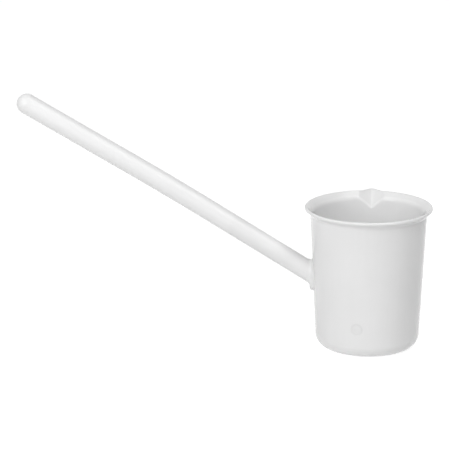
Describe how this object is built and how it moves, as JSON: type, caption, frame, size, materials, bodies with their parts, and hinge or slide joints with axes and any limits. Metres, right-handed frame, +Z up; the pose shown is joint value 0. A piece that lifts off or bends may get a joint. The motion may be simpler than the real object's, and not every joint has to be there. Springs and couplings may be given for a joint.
{
  "type": "water dipper",
  "caption": "Water dipper: a deep plastic cup with a flared rim and a V spout, and a long slanting round-ended handle that grows from a round pad on the cup's wall.",
  "frame": {"origin": "centre of the cup's flat resting face", "axes": "+Z up along the cup's axis, the handle leans up towards -X, the spout pours towards +Y"},
  "size_m": [0.4056, 0.1325, 0.2444],
  "materials": {
    "cup_plastic": "translucent white polyethylene, soft gloss",
    "fitting_plastic": "white polyethylene, soft gloss",
    "handle_plastic": "white polyethylene, soft gloss",
    "weld_plastic": "white polyethylene filler, as welded"
  },
  "bodies": {
    "root": {"cup": "cup_plastic", "wall_pad": "fitting_plastic", "root_sleeve": "fitting_plastic", "handle_tube": "handle_plastic", "end_plug": "handle_plastic", "pad_weld_bead": "weld_plastic", "tube_weld_bead": "weld_plastic"}
  },
  "joints": []
}
